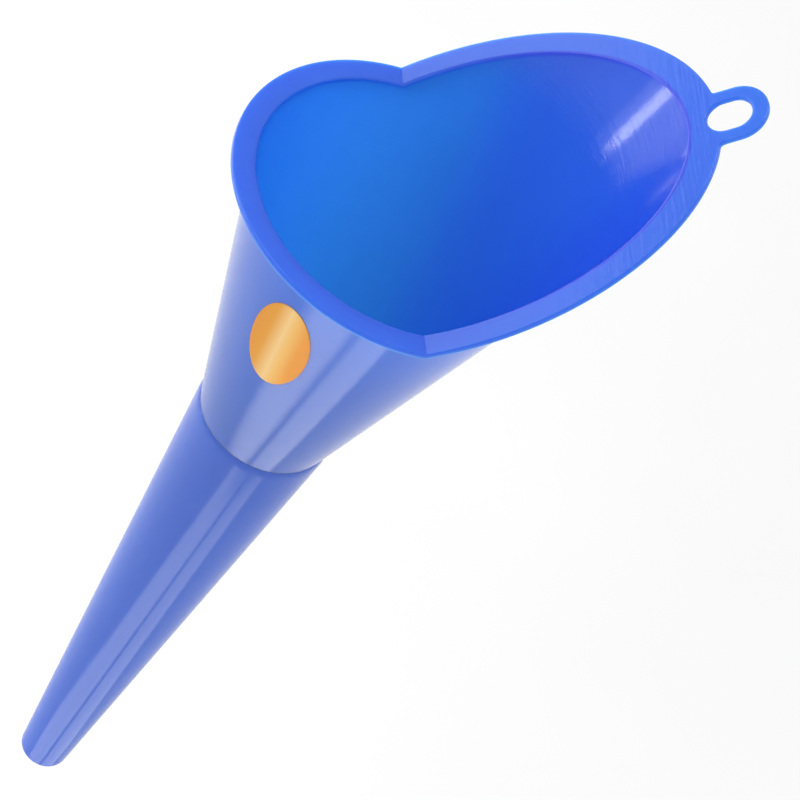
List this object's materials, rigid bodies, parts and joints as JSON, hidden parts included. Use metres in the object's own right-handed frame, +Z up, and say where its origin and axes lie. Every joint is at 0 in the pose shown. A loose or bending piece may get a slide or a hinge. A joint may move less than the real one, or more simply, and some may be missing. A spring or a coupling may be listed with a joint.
{
  "type": "funnel",
  "caption": "Long plastic fuel funnel: a conical cup with a raised sloping splash guard and hanging tab, and a tapered spout that pulls off below it.",
  "frame": {"origin": "centre of the outlet's end face, on the funnel's axis", "axes": "+Z up along the axis towards the mouth, +X towards the high side of the mouth and its hanging tab"},
  "size_m": [0.1242, 0.1034, 0.3731],
  "materials": {
    "cup_plastic": "glossy moulded blue, slightly translucent",
    "spout_plastic": "glossy moulded blue, slightly translucent",
    "label_foil": "satin gold metallised film, blank"
  },
  "bodies": {
    "cup": {"cup": "cup_plastic", "label": "label_foil"},
    "spout": {"spout": "spout_plastic"}
  },
  "joints": [
    {"name": "spout_pull", "type": "slide", "parent": "cup", "child": "spout", "axis": [0, 0, -1], "range_m": [0, 0.03]}
  ]
}
